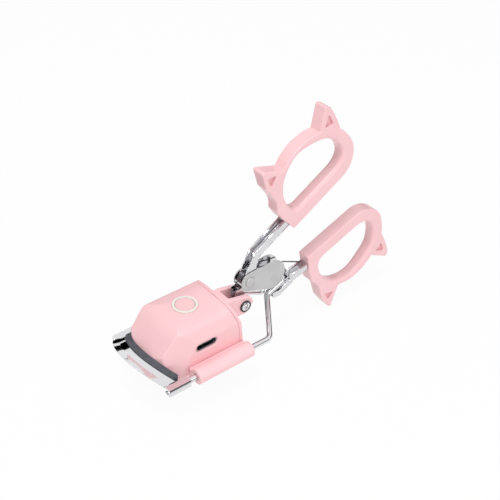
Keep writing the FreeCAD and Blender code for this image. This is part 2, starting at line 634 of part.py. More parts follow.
def top_housing():
    """Faceted dome: an open shell over the tray, closed at the back by the rear cover."""
    body = new_body("top_housing")
    sketch = new_sketch(body, "XY", "tray_thick")
    outline(sketch, house_plan())
    pad(body, sketch, "dome_top")
    trim(body, "YZ", house_section())
    trim(body, "XZ", house_profile("cover_thick"))
    for side in (1, -1):
        shave_corner(body, side)
    sketch = new_sketch(body, "XY", "tray_thick")
    box_outline(sketch, "-cavity_front_x", "house_rear_x + 4", "-cavity_half", "cavity_half")
    cut(body, sketch, "cavity_z - tray_thick", "One side", True)
    sketch = new_sketch(body, "XY", "cavity_z")
    box_outline(sketch, "-crown_front_x + 1.0", "house_rear_x + 4",
                "-cavity_half + 1.0", "cavity_half - 1.0")
    cut(body, sketch, ROOF_Z + " - cavity_z", "One side", True)
    for x in ("-button_x - switch_board_length / 2 + screw_post_inset",
              "-button_x + switch_board_length / 2 - screw_post_inset"):
        for y in ("switch_board_half - screw_post_inset", "-switch_board_half + screw_post_inset"):
            sketch = new_sketch(body, "XY", SWITCH_BOARD_Z + " + board_thick")
            disc(sketch, x, y, "post_dia * 0.8")
            pad(body, sketch, "%s + 0.5 - %s - board_thick" % (ROOF_Z, SWITCH_BOARD_Z))
    sketch = new_sketch(body, "XY", "dome_top - light_depth")
    disc(sketch, "-button_x", "0", LIGHT_DIA)
    cut(body, sketch, "light_depth + 1", "One side", True)
    sketch = new_sketch(body, "XY")
    disc(sketch, "-button_x", "0", "button_dia + 2 * button_fit")
    cut(body, sketch, "dome_top + 1", "One side", True)
    sketch = new_sketch(body, "XZ", "house_half - wall - 1")
    slot_outline(sketch, "-port_x", "port_z", "port_length + port_fit", "port_height + port_fit")
    cut(body, sketch, "wall + 3", "One side", True)


def slot_outline(sketch, x, z, length, height):
    """A slot with round ends."""
    run = "((%s) / 2 - (%s) / 2)" % (length, height)
    radius = "((%s) / 2)" % height
    outline(sketch, [
        ("%s - %s" % (x, run), "%s - %s" % (z, radius)),
        ("%s + %s" % (x, run), "%s - %s" % (z, radius), radius),
        ("%s + %s + %s" % (x, run, radius), z, radius),
        ("%s + %s" % (x, run), "%s + %s" % (z, radius)),
        ("%s - %s" % (x, run), "%s + %s" % (z, radius), radius),
        ("%s - %s - %s" % (x, run, radius), z, radius),
    ])


def base_tray():
    """Floor of the housing with a sleeve on each side that slides on a guide rod."""
    body = new_body("base_tray")
    sketch = new_sketch(body, "XY")
    plan = house_plan()
    plan[0] = ("house_rear_x", "-house_half")
    plan[1] = ("house_rear_x", "house_half")
    outline(sketch, plan)
    pad(body, sketch, "tray_thick")
    for side in ("", "-"):
        centre = side + ROD_Y
        sketch = new_sketch(body, "YZ", "-sleeve_front_x")
        disc(sketch, centre, "rod_height", "sleeve_dia")
        pad(body, sketch, "sleeve_front_x + sleeve_rear_x")
        sketch = new_sketch(body, "YZ", "-sleeve_front_x")
        web = [
            ("house_half - 1", "0"), (ROD_Y, "0"), (ROD_Y, "rod_height + 1"),
            (ROD_Y + " - web_reach", "web_top", "-web_radius"), ("house_half + 0.03", "web_top - 0.5"),
            ("house_half + 0.03", "tray_thick"), ("house_half - 1", "tray_thick"),
        ]
        if side:
            web = [("-(%s)" % point[0],) + point[1:] for point in web]
            web[3] = web[3][:2]
            web[4] = web[4] + ("-web_radius",)
            web.reverse()
        outline(sketch, web)
        pad(body, sketch, "sleeve_front_x + sleeve_rear_x")
    for side in ("", "-"):
        sketch = new_sketch(body, "YZ", "-sleeve_front_x - 1")
        disc(sketch, side + ROD_Y, "rod_height", "rod_dia + 2 * slide_fit")
        cut(body, sketch, "sleeve_front_x + sleeve_rear_x + 2", "One side", True)
    for x in ("-board_front_x + post_dia / 2", "board_rear_x - post_dia / 2"):
        for y in ("board_half - post_dia / 2", "-board_half + post_dia / 2"):
            sketch = new_sketch(body, "XY", "tray_thick")
            disc(sketch, x, y, "post_dia")
            pad(body, sketch, BOARD_Z + " - tray_thick")


def rear_cover():
    """Slanted back of the housing with the two clevis ears."""
    body = new_body("rear_cover")
    sketch = new_sketch(body, "XY", "tray_thick")
    outline(sketch, house_plan())
    pad(body, sketch, "dome_top")
    trim(body, "YZ", house_section())
    profile = house_profile()
    rear = [("house_rear_x - cover_thick", "-1"), ("house_rear_x - cover_thick", "tray_thick"),
            ("rear_waist_x - cover_thick", "rear_waist_z"),
            ("rear_top_x - cover_thick", "dome_top - crown_drop / 2")]
    rear.reverse()
    trim(body, "XZ", profile[1:4] + [("rear_top_x", "dome_top - crown_drop / 2"),
                                     ("rear_top_x - cover_thick", "dome_top")] + rear)
    sketch = new_sketch(body, "XZ")
    outline(sketch, [
        ("rear_waist_x - 0.3", "clevis_bottom_z"), ("clevis_x + 0.6", "clevis_z - clevis_radius + 0.2"),
        ("clevis_x + clevis_radius", "clevis_z", "clevis_radius + 0.4"),
        ("clevis_x + 0.8", "clevis_z + clevis_radius"),
        ("clevis_x - 5.5", "clevis_top_z"), ("rear_waist_x - 1.2", "clevis_top_z - 0.2"),
    ])
    pad(body, sketch, "2 * clevis_half", "Symmetric")
    sketch = new_sketch(body, "XZ")
    box_outline(sketch, "rear_waist_x + 1.6", "clevis_x + 9", "clevis_bottom_z - 4", "clevis_top_z + 4")
    cut(body, sketch, "2 * clevis_inner_half", "Symmetric")
    sketch = new_sketch(body, "XZ")
    disc(sketch, "clevis_x", "clevis_z", "screw_dia")
    cut(body, sketch, "4 * clevis_half", "Symmetric")


def light_ring():
    body = new_body("light_ring")
    sketch = new_sketch(body, "XY", "dome_top - light_depth")
    disc(sketch, "-button_x", "0", LIGHT_DIA)
    disc(sketch, "-button_x", "0", "button_dia + 2 * button_fit")
    pad(body, sketch, "light_depth + 0.05")


def power_button():
    """Round cap that slides in the roof, held by a flange underneath."""
    body = new_body("power_button")
    sketch = new_sketch(body, "XY", ROOF_Z + " - 0.4")
    disc(sketch, "-button_x", "0", "button_dia")
    pad(body, sketch, "roof_thick + 0.45")
    sketch = new_sketch(body, "XY", ROOF_Z + " - button_flange - 0.1")
    disc(sketch, "-button_x", "0", "button_dia + 1.2")
    pad(body, sketch, "button_flange")


def plate(name, x0, x1, half, low, thick):
    body = new_body(name)
    sketch = new_sketch(body, "XY", low)
    box_outline(sketch, x0, x1, "-(%s)" % half, half)
    pad(body, sketch, thick)
    return body


def tact_switch():
    body = plate("tact_switch", "-button_x - switch_side / 2", "-button_x + switch_side / 2",
                 "switch_side / 2", SWITCH_BOARD_Z + " + board_thick", "switch_height")
    sketch = new_sketch(body, "XY", SWITCH_BOARD_Z + " + board_thick + switch_height")
    disc(sketch, "-button_x", "0", "switch_plunger_dia")
    pad(body, sketch, "plunger_rise")


def usb_socket():
    """Steel shell of the charging socket, open at the housing wall."""
    body = new_body("usb_c_socket")
    sketch = new_sketch(body, "XZ", "house_half - port_inset - port_depth")
    slot_outline(sketch, "-port_x", "port_z", "port_length", "port_height")
    pad(body, sketch, "port_depth")
    sketch = new_sketch(body, "XZ", "house_half - port_depth + 0.6")
    slot_outline(sketch, "-port_x", "port_z", "port_length - 2 * port_shell", "port_height - 2 * port_shell")
    cut(body, sketch, "port_depth", "One side", True)
    sketch = new_sketch(body, "XZ", "house_half - port_depth")
    box_outline(sketch, "-port_x - tongue_length / 2", "-port_x + tongue_length / 2",
                "port_z - tongue_thick / 2", "port_z + tongue_thick / 2")
    pad(body, sketch, "port_depth - tongue_inset")


top_housing()
base_tray()
rear_cover()
bowed_strip("silicone_pad", "0", "pad_thick", "pad_half", "-pad_front_x", TRAY_FRONT)
bowed_strip("heater_bar", "pad_thick", "bar_thick", "pad_half - 0.3",
            "-pad_front_x + bar_setback", TRAY_FRONT)
bowed_strip("pad_carrier", "pad_thick + bar_thick", "lip_thick", "pad_half - 0.6",
            "-pad_front_x + bar_setback", TRAY_FRONT)
light_ring()
power_button()
plate("battery_cell", CELL_FRONT, CELL_FRONT + " + cell_length", "cell_width / 2", "tray_thick",
      "cell_height")
plate("circuit_board", "-board_front_x", "board_rear_x", "board_half", BOARD_Z, "board_thick")
plate("switch_board", "-button_x - switch_board_length / 2", "-button_x + switch_board_length / 2",
      "switch_board_half", SWITCH_BOARD_Z, "board_thick")
tact_switch()
usb_socket()
headed_pin("clevis_screw", "clevis_x", "clevis_z", "screw_dia", "clevis_half",
           "clevis_half + nut_height", "screw_head_dia", "screw_head", False)
nut = new_body("clevis_nut")
nut_sketch = new_sketch(nut, "XZ", "-clevis_half - nut_height")
disc(nut_sketch, "clevis_x", "clevis_z", "screw_head_dia")
disc(nut_sketch, "clevis_x", "clevis_z", "screw_dia")
pad(nut, nut_sketch, "nut_height")

doc.recompute()
for item in doc.Objects:
    if "Invalid" in item.State or "Error" in item.State:
        raise RuntimeError(item.Label + " is not valid")
os.makedirs("parts", exist_ok=True)
for node in NODES:
    if node.Shape.isNull() or not node.Shape.isValid():
        raise RuntimeError(node.Label + " has no valid shape")
    print("%-20s %d solid, %8.2f mm3" % (node.Label, len(node.Shape.Solids), node.Shape.Volume))
    node.Shape.exportStep("parts/%s.step" % node.Label)
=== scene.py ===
# %% [markdown]
# # Heated eyelash curler
# A hand tool with two halves. The chrome frame holds the arched jaw, two guide rods and the lower
# handle. The pink housing slides on the rods and presses its warm silicone pad against the jaw
# when the upper handle is squeezed. Everything is in metres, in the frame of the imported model:
# +X runs from the jaw back to the finger rings, +Y to the left guide rod, +Z up to the power
# button.

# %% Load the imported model
import json
import math
import bmesh
import bpy
from mathutils import Matrix, Vector


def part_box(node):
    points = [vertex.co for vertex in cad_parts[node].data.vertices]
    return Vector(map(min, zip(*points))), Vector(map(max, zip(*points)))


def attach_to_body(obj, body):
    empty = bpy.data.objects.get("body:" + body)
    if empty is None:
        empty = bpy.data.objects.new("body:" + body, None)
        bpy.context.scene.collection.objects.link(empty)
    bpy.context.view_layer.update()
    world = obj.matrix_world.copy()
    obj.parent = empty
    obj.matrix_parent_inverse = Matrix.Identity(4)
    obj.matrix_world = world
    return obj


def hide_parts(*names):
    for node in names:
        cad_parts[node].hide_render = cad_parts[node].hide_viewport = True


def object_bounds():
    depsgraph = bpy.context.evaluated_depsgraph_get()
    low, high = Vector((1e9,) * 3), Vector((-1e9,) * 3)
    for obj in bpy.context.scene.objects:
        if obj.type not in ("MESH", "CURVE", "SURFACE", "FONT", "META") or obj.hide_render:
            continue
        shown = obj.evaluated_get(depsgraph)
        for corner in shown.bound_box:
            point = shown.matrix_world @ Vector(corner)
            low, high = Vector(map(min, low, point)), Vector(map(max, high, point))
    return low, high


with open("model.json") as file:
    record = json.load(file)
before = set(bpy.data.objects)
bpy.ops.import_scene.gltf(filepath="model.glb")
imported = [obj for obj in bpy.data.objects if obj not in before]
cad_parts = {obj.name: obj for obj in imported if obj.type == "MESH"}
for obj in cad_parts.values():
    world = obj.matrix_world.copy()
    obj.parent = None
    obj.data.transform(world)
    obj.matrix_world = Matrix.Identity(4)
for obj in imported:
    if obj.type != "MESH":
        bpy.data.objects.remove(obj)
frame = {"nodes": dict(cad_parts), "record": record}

cad_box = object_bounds()
nodes = frame["nodes"]
print("CAD box", cad_box)

# %% [markdown]
# Every material below is made of nodes. Colours are written as sRGB hex and turned to linear
# here, because shaders add light in linear values. `add` puts one node in a material, sets its
# options and fills or links its inputs, so that each finish reads as a short list.

# %% Helpers for materials
MM = 0.001
RAMP_LOW, RAMP_HIGH = 0.35, 0.65
NOISE_DETAIL = 2.0
SPOT_DETAIL = 3.0


def linear(code):
    """The linear RGBA colour of an sRGB hex code."""
    channels = [int(code[i:i + 2], 16) / 255 for i in (0, 2, 4)]
    return tuple(c / 12.92 if c <= 0.04045 else ((c + 0.055) / 1.055) ** 2.4
                 for c in channels) + (1.0,)


def add(material, kind, settings=None, **inputs):
    """A new node; inputs are numbers or the sockets that feed them."""
    node = material.node_tree.nodes.new("ShaderNode" + kind)
    for name, value in (settings or {}).items():
        setattr(node, name, value)
    for name, value in inputs.items():
        socket = node.inputs[name.replace("_", " ")]
        if isinstance(value, bpy.types.NodeSocket):
            material.node_tree.links.new(value, socket)
        else:
            socket.default_value = value
    return node


def new_material(name, roughness, metallic=0.0, specular=0.5):
    """A material and its Principled shader, with the given constants on it."""
    made = bpy.data.materials.new(name)
    made.use_nodes = True
    shader = made.node_tree.nodes["Principled BSDF"]
    shader.inputs["Roughness"].default_value = roughness
    shader.inputs["Metallic"].default_value = metallic
    shader.inputs["Specular IOR Level"].default_value = specular
    return made, shader


def link(material, value, socket):
    """Joins an output to an input."""
    material.node_tree.links.new(value, socket)


def mottle(material, scale, low, high):
    """Colour that wanders between two codes, in object space."""
    place = add(material, "TexCoord").outputs["Object"]
    noise = add(material, "TexNoise", Vector=place, Scale=scale, Detail=NOISE_DETAIL)
    ramp = add(material, "ValToRGB", Fac=noise.outputs["Fac"])
    ramp.color_ramp.elements[0].position = RAMP_LOW
    ramp.color_ramp.elements[0].color = linear(low)
    ramp.color_ramp.elements[1].position = RAMP_HIGH
    ramp.color_ramp.elements[1].color = linear(high)
    return ramp.outputs["Color"]


def grain(material, scale, depth, stretch=(1, 1, 1)):
    """A bump of fine grain; depth is in metres."""
    place = add(material, "TexCoord").outputs["Object"]
    spread = add(material, "Mapping", Vector=place, Scale=stretch)
    noise = add(material, "TexNoise", Vector=spread.outputs["Vector"], Scale=scale,
                Detail=NOISE_DETAIL)
    bump = add(material, "Bump", Height=noise.outputs["Fac"], Distance=depth, Strength=1.0)
    return bump.outputs["Normal"]


def rough_spots(material, scale, low, high):
    """Roughness that varies a little, as handled surfaces do."""
    place = add(material, "TexCoord").outputs["Object"]
    noise = add(material, "TexNoise", Vector=place, Scale=scale, Detail=SPOT_DETAIL)
    spread = add(material, "MapRange", Value=noise.outputs["Fac"], To_Min=low, To_Max=high)
    return spread.outputs["Result"]


# %% [markdown]
# The plastics are moulded ABS: the housing is satin, with the faint texture of a sparked mould
# and wide patches where the shine differs by a few percent. The rings are the same pink with
# a glossier skin. The ring of light is milky polycarbonate.

# %% Plastic materials
PLASTIC_PATCHES = 60
PLASTIC_SPOTS = 300
SHINE_SPREAD = 0.05


def plastic(name, low, high, roughness, scale, depth):
    """Moulded plastic: a narrow range of colour, fine grain, and shine that varies."""
    made, shader = new_material(name, roughness)
    link(made, mottle(made, PLASTIC_PATCHES, low, high), shader.inputs["Base Color"])
    link(made, grain(made, scale, depth), shader.inputs["Normal"])
    shine = rough_spots(made, PLASTIC_SPOTS, roughness - SHINE_SPREAD, roughness + SHINE_SPREAD)
    link(made, shine, shader.inputs["Roughness"])
    return made


pink_housing = plastic("satin_abs_pink", "F7C8CC", "F9CCD0", 0.36, 4000, 0.000006)
pink_ring = plastic("gloss_abs_pink", "F6C7CB", "F8CBCF", 0.30, 4000, 0.000004)
light_milk = plastic("milky_polycarbonate", "E9E7DF", "EFEDE6", 0.30, 3000, 0.000005)
laminate = plastic("glass_laminate_green", "1E5E38", "25703F", 0.45, 2000, 0.00002)
wrap = plastic("pouch_foil_blue", "5A7896", "6484A4", 0.40, 1500, 0.00002)
black_plastic = plastic("moulded_nylon_black", "141414", "1C1C1C", 0.45, 2500, 0.00002)
print("plastics made")

# %% [markdown]
# The pad that warms the lashes is dark silicone rubber. Fine ribs run across its top, front to
# back, about every 0.75 mm, and keep the lashes apart. A wave texture along Y draws them as
# bump, because they are only 0.15 mm high.

# %% Silicone
RIB_PITCH = 0.75 * MM
RIB_HEIGHT = 0.15 * MM
WAVES_PER_UNIT = 20


def silicone():
    """Dull dark rubber with ribs."""
    made, shader = new_material("silicone_dark_ribbed", 0.58)
    link(made, mottle(made, 400, "45474E", "52555C"), shader.inputs["Base Color"])
    place = add(made, "TexCoord").outputs["Object"]
    turns = 2 * math.pi / (WAVES_PER_UNIT * RIB_PITCH)
    ribs = add(made, "TexWave", {"bands_direction": "Y"}, Vector=place, Scale=turns)
    bump = add(made, "Bump", Height=ribs.outputs["Fac"], Distance=RIB_HEIGHT, Strength=0.7)
    link(made, bump.outputs["Normal"], shader.inputs["Normal"])
    return made


pad_silicone = silicone()
print("rib pitch", RIB_PITCH)

# %% [markdown]
# The frame is nickel-chrome plated steel: almost a mirror, so that its look comes from what
# stands round it, with only a breath of haze. The cheek plates are tumbled steel with a flat
# grey sheen. Screws are blackened, the socket's shell is tinned, and the heater bar is plain
# aluminium.

# %% Metals
METAL_PATCHES = 90
METAL_SPOTS = 120
MATT_PATCHES = 200


def metal(name, low, high, rough_low, rough_high, scale, depth, stretch=(1, 1, 1)):
    """A metal whose colour and haze vary a little."""
    made, shader = new_material(name, rough_low, 1.0)
    link(made, mottle(made, METAL_PATCHES, low, high), shader.inputs["Base Color"])
    link(made, grain(made, scale, depth, stretch=stretch), shader.inputs["Normal"])
    link(made, rough_spots(made, METAL_SPOTS, rough_low, rough_high), shader.inputs["Roughness"])
    return made


polished = metal("chrome_plated_steel", "DEDEE0", "E2E2E4", 0.05, 0.08, 150, 0.000002)
folded = metal("chrome_folded_sheet", "D6D6D9", "DCDCDE", 0.06, 0.10, 150, 0.0000015, (1, 6, 1))
spring_wire = metal("hard_drawn_wire", "66666A", "76767A", 0.16, 0.24, 300, 0.000003)
# Dark steel for the clevis nut. The same material also paints the shade ring round the clevis
# screw head.
dark_steel_and_shade = metal("blackened_steel_and_painted_shade", "4A4A4E", "58585C", 0.22, 0.32, 400, 0.000005)
shell = metal("tinned_shell", "B4B4B8", "C4C4C8", 0.2, 0.3, 400, 0.000004)
aluminium = metal("plain_aluminium", "C8C8CA", "D2D2D4", 0.3, 0.4, 400, 0.000006)


def matt_plate():
    """Tumbled steel: half of its light comes back evenly, the rest as a soft sheen."""
    made, shader = new_material("tumbled_steel", 0.42, 0.35)
    link(made, mottle(made, MATT_PATCHES, "BEBEBE", "C8C8C8"), shader.inputs["Base Color"])
    link(made, grain(made, 2500, 0.000004), shader.inputs["Normal"])
    link(made, rough_spots(made, MATT_PATCHES, 0.38, 0.48), shader.inputs["Roughness"])
    return made


plate_steel = matt_plate()
print("metals made")

# %% [markdown]
# CAD solids leave sharp edges, and real moulded or folded parts have none. Two helpers give a
# copy of a solid its edges back. `moulded` remeshes the copy in small cubes and lets it settle,
# which rounds every edge and crease at once, as on a plastic part out of its mould. `eased`
# keeps the flats exactly and bevels only the sharp edges, as on sheet metal that was tumbled.
# Each copy rides with its body and stands for its solid.

# %% Copies of CAD solids with softened edges
BODY_OF = {name: body for body, names in frame["record"]["behaviour"]["bodies"].items()
           for name in names}
SAME_POINT = 0.002 * MM
FLAT_DEGREES = 0.05
BEVEL_DEGREES = 30
BEVEL_SEGMENTS = 3


def merged_copy(node):
    """A new object with the solid's mesh, its loose triangles joined."""
    shape = bmesh.new()
    shape.from_mesh(nodes[node].data)
    bmesh.ops.transform(shape, matrix=nodes[node].matrix_world, verts=shape.verts)
    bmesh.ops.remove_doubles(shape, verts=shape.verts, dist=SAME_POINT)
    bmesh.ops.dissolve_limit(shape, angle_limit=math.radians(FLAT_DEGREES), verts=shape.verts,
                             edges=shape.edges)
    mesh = bpy.data.meshes.new(node + "_finished")
    shape.to_mesh(mesh)
    shape.free()
    return bpy.data.objects.new(mesh.name, mesh)


def attach(piece, material, node, stands_for_it=False):
    """Links the piece, gives it its material, and ties it to the body of a solid."""
    piece.data.materials.clear()
    piece.data.materials.append(material)
    bpy.context.scene.collection.objects.link(piece)
    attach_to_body(piece, BODY_OF[node])
    if stands_for_it:
        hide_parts(node)
    print(piece.name, "stands for" if stands_for_it else "goes with", node)
    return piece


def settle(piece, material, node):
    """Puts the piece in the solid's place."""
    return attach(piece, material, node, stands_for_it=True)


def shape_to_object(shape, name):
    """Ends a bmesh as a new object."""
    mesh = bpy.data.meshes.new(name)
    shape.to_mesh(mesh)
    shape.free()
    return bpy.data.objects.new(name, mesh)


def prisms(*blocks):
    """Blocks, each with an outline in the side view, between two places along Y."""
    shape = bmesh.new()
    for points, near, far in blocks:
        corners = [shape.verts.new((x * MM, near * MM, z * MM)) for x, z in points]
        side = shape.faces.new(corners)
        grown = bmesh.ops.extrude_face_region(shape, geom=[side])["geom"]
        moved = [item for item in grown if isinstance(item, bmesh.types.BMVert)]
        bmesh.ops.translate(shape, vec=(0, (far - near) * MM, 0), verts=moved)
    bmesh.ops.recalc_face_normals(shape, faces=shape.faces)
    return shape_to_object(shape, "cutter")


def carve(piece, cutter, crossed=False):
    """Takes the cutter's room out of a piece, and the cutter away."""
    bpy.context.scene.collection.objects.link(cutter)
    step = piece.modifiers.new("carve", "BOOLEAN")
    step.operation = "DIFFERENCE"
    step.object = cutter
    step.use_self = crossed
    bpy.context.view_layer.update()
    view = bpy.context.evaluated_depsgraph_get()
    carved = bpy.data.meshes.new_from_object(piece.evaluated_get(view))
    piece.modifiers.clear()
    piece.data = carved
    bpy.data.objects.remove(cutter)


def moulded(node, material, voxel, passes, cutter=None):
    """A copy whose edges are rounded all over."""
    piece = settle(merged_copy(node), material, node)
    if cutter:
        carve(piece, cutter)
    remesh = piece.modifiers.new("cubes", "REMESH")
    remesh.mode = "VOXEL"
    remesh.voxel_size = voxel
    remesh.use_smooth_shade = True
    smooth = piece.modifiers.new("settle", "SMOOTH")
    smooth.factor = 0.5
    smooth.iterations = passes
    return piece


def eased(node, material, width, sharp=30, cutter=None):
    """A copy whose sharp edges are bevelled."""
    piece = settle(merged_copy(node), material, node)
    if cutter:
        carve(piece, cutter)
    for face in piece.data.polygons:
        face.use_smooth = True
    piece.data.set_sharp_from_angle(angle=math.radians(sharp))
    bevel = piece.modifiers.new("ease", "BEVEL")
    bevel.width = width
    bevel.segments = BEVEL_SEGMENTS
    bevel.limit_method = "ANGLE"
    bevel.angle_limit = math.radians(BEVEL_DEGREES)
    bevel.harden_normals = True
    return piece


# %% [markdown]
# The finger rings are thick bands round the holes where the fingers rest, and two pointed ears
# with a sunk triangle. All their edges are rounded, so small cubes and many settling passes suit
# them. The triangles are given along and across the handle, from each ring's own corner, and
# are cut before the cubes.

# %% Finger rings
EAR_MARKS = (
    ((29.6, 24.0), (33.1, 22.2), (33.3, 27.4)),
    ((1.3, 22.8), (5.2, 25.3), (1.9, 27.4)),
)
MARK_DEPTH = 1.5
MARK_CLEAR = 1
RING_VOXEL = 0.26 * MM
RING_PASSES = 7
RINGS = (
    ("upper_finger_ring", (43.9, 35.5), 30.4, 1),
    ("lower_finger_ring", (52.6, 15.8), 20.8, -1),
)
RING_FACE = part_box("upper_finger_ring")[1][1] / MM


def ring_marks(base, angle, flip):
    """A cutter for the ears' triangles, on both faces of a ring."""
    cosine, sine = math.cos(math.radians(angle)), math.sin(math.radians(angle))
    made = []
    for mark in EAR_MARKS:
        spots = [(base[0] + a * cosine - flip * b * sine, base[1] + a * sine + flip * b * cosine)
                 for a, b in mark]
        made.append((spots, RING_FACE - MARK_DEPTH, RING_FACE + MARK_CLEAR))
        made.append((spots, -RING_FACE - MARK_CLEAR, -RING_FACE + MARK_DEPTH))
    return prisms(*made)


for name, base, angle, flip in RINGS:
    moulded(name, pink_ring, RING_VOXEL, RING_PASSES, ring_marks(base, angle, flip))

# %% [markdown]
# The housing is a dome of flat facets with soft creases between them, a slanted rear cover, and
# a tray whose sides end in the two sliding sleeves. The creases are as soft as the edges, so
# the same cubes and passes do both.

# %% Housing
moulded("top_housing", pink_housing, 0.26 * MM, 9)
moulded("rear_cover", pink_housing, 0.22 * MM, 6)
moulded("base_tray", pink_housing, 0.22 * MM, 5)

# %% [markdown]
# The button is a flat cap with an eased rim in the ring of light. The jaw, the handles and the
# plates are sheet metal with tumbled edges, a tenth of a millimetre or so.

# %% Small parts with eased edges
FACES_OUTWARD = 0.9
eased("power_button", pink_housing, 0.3 * MM)
eased("light_ring", light_milk, 0.15 * MM)
eased("fixed_jaw", polished, 0.12 * MM, sharp=10)
for name, outward in (("cheek_plate_left", 1), ("cheek_plate_right", -1)):
    piece = eased(name, plate_steel, 0.1 * MM)
    piece.data.materials.append(folded)
    for face in piece.data.polygons:
        if face.normal.y * outward < -FACES_OUTWARD:
            face.material_index = 1
eased("silicone_pad", pad_silicone, 0.15 * MM)

# %% [markdown]
# The shanks are folded sheet. The upper one is cut away round the pivot so that the spring's
# coil shows beside it. The lower one is opened along its top, so that it is a channel between two
# walls, and its fork keeps only low walls beside the cheek plates. The cuts are made with blocks
# and a Boolean before the edges are eased, because the solids are fuller there. All outlines are
# in millimetres in the side view: the first number is X and the second is Z.

# %% Shanks
CUT_REACH = 5
CHANNEL_HALF = 1.2
pivot = [(low + high) / 2 / MM for low, high in zip(*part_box("pivot_rivet"))]
px, pz = pivot[0], pivot[2]
coil_window = [(px - 8, pz - 1.7), (px - 3.0, pz - 1.7), (px - 2.0, pz - 0.6),
               (px - 1.8, pz + 2.5), (px, pz + 6.4), (px - 4, pz + 10), (px - 8, pz + 7)]
eased("upper_shank", folded, 0.2 * MM, cutter=prisms((coil_window, -CUT_REACH, CUT_REACH)))

fork = [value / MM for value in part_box("lower_shank")[0]]
fx, fz = fork[0], fork[2]
fork_top = [(fx - 2, fz + 2.4), (fx + 3.6, fz + 2.4), (fx + 8.6, fz + 5.2), (fx + 8.3, fz + 6.8),
            (fx + 8.3, fz + 12), (fx - 2, fz + 12)]
top_front, top_rear = (fx + 7.3, fz + 5.0), (52.5, 13.6)
foot_front, foot_rear = (fx + 7.3, fz + 1.9), (52.8, 11.2)
channel_top = [(fx + 8.8, fz + 4.4), (top_rear[0] + 1, top_rear[1] - 0.6),
               (top_rear[0] + 1, top_rear[1] + 2), (fx + 8.8, fz + 7.0)]
eased("lower_shank", folded, 0.12 * MM,
      cutter=prisms((fork_top, -CUT_REACH, CUT_REACH),
                    (channel_top, -CHANNEL_HALF, CHANNEL_HALF)))
print("pivot", round(px, 2), round(pz, 2), "fork", round(fx, 2), round(fz, 2))

# %% [markdown]
# The sheet's edges are rolled over, so that they don't cut the hand. Each rolled edge is a thin
# rod along the sheet, with a ball at each bend. A strip between the walls of the lower shank
# closes its channel below.

# %% Rolled edges
EDGE_RADIUS = 0.42 * MM
EDGE_Y = 1.5
ROD_SIDES = 16
BALL_STEPS = 2
STRIP_THICK = 0.4
STRIP_HALF = 1.45


def rod_between(shape, begin, finish, radius):
    """Adds a straight round rod to a bmesh."""
    run = finish - begin
    turn = run.to_track_quat("Z", "Y").to_matrix().to_4x4()
    place = Matrix.Translation((begin + finish) / 2) @ turn
    bmesh.ops.create_cone(shape, cap_ends=True, segments=ROD_SIDES, radius1=radius,
                          radius2=radius,
                          depth=run.length, matrix=place)


def rolled_edges(name, node, routes):
    """Rods along (x, z) routes at both sides of a folded sheet."""
    shape = bmesh.new()
    for route in routes:
        for side in (1, -1):
            spots = [Vector((x, side * EDGE_Y, z)) * MM for x, z in route]
            for begin, finish in zip(spots, spots[1:]):
                rod_between(shape, begin, finish, EDGE_RADIUS)
            for spot in spots:
                bmesh.ops.create_icosphere(shape, subdivisions=BALL_STEPS, radius=EDGE_RADIUS,
                                           matrix=Matrix.Translation(spot))
    for face in shape.faces:
        face.smooth = True
    attach(shape_to_object(shape, name), polished, node)


rolled_edges("upper_shank_edges", "upper_shank", [
    [(40.7, 38.3), (px + 2.9, pz + 11.0), (px + 1.2, pz + 7.2)],
    [(42.7, 36.1), (px + 4.6, pz + 9.0), (px + 3.3, pz + 5.6)],
])
rolled_edges("lower_shank_edges", "lower_shank", [
    [top_front, top_rear], [foot_front, foot_rear],
])
strip_under = [(foot_front[0], foot_front[1]), foot_rear,
               (foot_rear[0], foot_rear[1] + STRIP_THICK),
               (foot_front[0], foot_front[1] + STRIP_THICK)]
web = prisms((strip_under, -STRIP_HALF, STRIP_HALF))
web.name = "lower_shank_web"
attach(web, folded, "lower_shank")

# %% [markdown]
# The spring is hard-drawn wire: a few close turns hang round the pivot, a long leg rests in the
# lower handle and a short one in the upper. A small disc is spun round an axis along Y while
# each step moves it on a little, which makes the coil; the legs are straight rods.

# %% Torsion spring
WIRE = 0.5 * MM
COIL_RADIUS = 2.35 * MM
COIL_TURNS = 4.5
COIL_STEPS = 36
COIL_GAP = 1.06
COIL_SHIFT = (-0.8, 1.0)
KNEE_SHIFT = (17.6, -0.3)
TAIL_SHIFT = (6.6, 8.6)
LEG_ALONG_COIL = 0.9
WIRE_SIDES = 12


